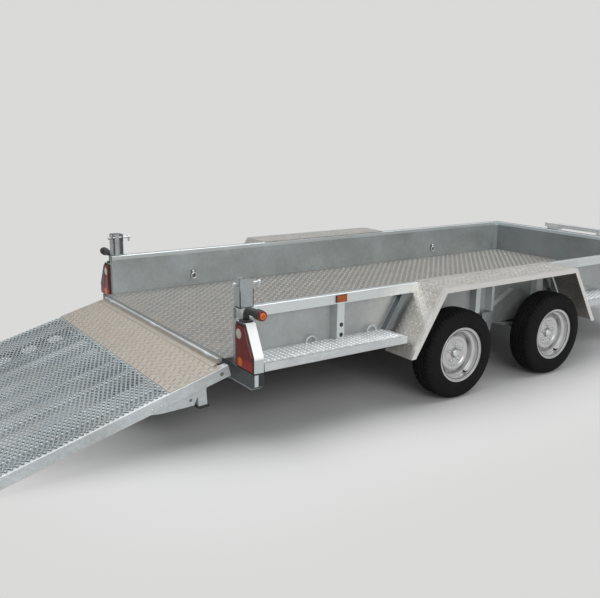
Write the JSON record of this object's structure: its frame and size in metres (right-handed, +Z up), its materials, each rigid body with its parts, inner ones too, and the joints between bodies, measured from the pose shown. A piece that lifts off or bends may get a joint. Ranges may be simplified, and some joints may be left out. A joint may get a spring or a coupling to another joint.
{
  "type": "plant trailer",
  "caption": "Twin axle plant trailer with low sides, flat mudguards, side steps, drawbar with ball coupling and a full width hinged loading ramp",
  "frame": {"origin": "middle of the bounding box in plan, on the floor", "axes": "+X to the drawbar, +Y to the left side, +Z up"},
  "size_m": [6.921, 2.428, 0.923],
  "materials": {
    "deck_tread": "raised tread pattern, dusty and worn",
    "galvanised_dark": "galvanised, weathered darker grey",
    "galvanised": "galvanised, matt grey with a soft spangle",
    "red_lens": "clear red moulding",
    "rubber": "matt black",
    "tread_plate": "raised tread pattern, dulled by use",
    "amber_lens": "amber prismatic moulding",
    "tyre": "moulded black rubber",
    "rim": "silver, semi gloss",
    "ramp_tread": "raised tread pattern, dusty, warm grey"
  },
  "bodies": {
    "trailer": {"deck_plate": "deck_tread", "chassis_frame": "galvanised_dark", "rear_crossmember": "galvanised", "side_panel_left": "galvanised", "side_panel_right": "galvanised", "front_panel": "galvanised", "bucket_rest": "galvanised", "rear_post_left": "galvanised", "rear_post_right": "galvanised", "lamp_housing_left": "galvanised", "lamp_housing_right": "galvanised", "tail_lamp_left": "red_lens", "tail_lamp_right": "red_lens", "marker_lamp_left": "rubber", "marker_lamp_right": "rubber", "mudguard_left": "tread_plate", "mudguard_right": "tread_plate", "side_step_left": "tread_plate", "side_step_right": "tread_plate", "front_step_left": "tread_plate", "front_step_right": "tread_plate", "side_reflector_left": "amber_lens", "side_reflector_right": "amber_lens", "rope_hooks_left": "galvanised", "rope_hooks_right": "galvanised", "lashing_rings_left": "galvanised", "lashing_rings_right": "galvanised", "suspension_left": "galvanised_dark", "suspension_right": "galvanised_dark", "axle_rear": "galvanised_dark", "axle_front": "galvanised_dark", "drawbar": "galvanised", "coupling_head": "galvanised_dark", "jockey_wheel": "galvanised"},
    "latch_bolt_left": {"latch_bolt_left": "galvanised_dark"},
    "latch_bolt_right": {"latch_bolt_right": "galvanised_dark"},
    "wheel_rear_left": {"tyre_rear_left": "tyre", "rim_rear_left": "rim"},
    "wheel_rear_right": {"tyre_rear_right": "tyre", "rim_rear_right": "rim"},
    "wheel_front_left": {"tyre_front_left": "tyre", "rim_front_left": "rim"},
    "wheel_front_right": {"tyre_front_right": "tyre", "rim_front_right": "rim"},
    "ramp": {"ramp_frame": "galvanised", "ramp_plate": "ramp_tread", "ramp_mesh": "galvanised"}
  },
  "joints": [
    {"name": "ramp_hinge", "type": "hinge", "parent": "trailer", "child": "ramp", "pos_m": [-2.11547, 0, 0.452], "axis": [0, 1, 0], "range_deg": [0, 105.6]},
    {"name": "wheel_rear_left_spin", "type": "hinge", "parent": "trailer", "child": "wheel_rear_left", "pos_m": [-0.49947, 1.105, 0.298], "axis": [0, 1, 0], "continuous": true},
    {"name": "wheel_rear_right_spin", "type": "hinge", "parent": "trailer", "child": "wheel_rear_right", "pos_m": [-0.49947, -1.105, 0.298], "axis": [0, 1, 0], "continuous": true},
    {"name": "wheel_front_left_spin", "type": "hinge", "parent": "trailer", "child": "wheel_front_left", "pos_m": [0.43853, 1.105, 0.298], "axis": [0, 1, 0], "continuous": true},
    {"name": "wheel_front_right_spin", "type": "hinge", "parent": "trailer", "child": "wheel_front_right", "pos_m": [0.43853, -1.105, 0.298], "axis": [0, 1, 0], "continuous": true},
    {"name": "latch_slide_left", "type": "slide", "parent": "trailer", "child": "latch_bolt_left", "axis": [-1, 0, 0], "range_m": [0, 0.04]},
    {"name": "latch_slide_right", "type": "slide", "parent": "trailer", "child": "latch_bolt_right", "axis": [-1, 0, 0], "range_m": [0, 0.04]}
  ]
}
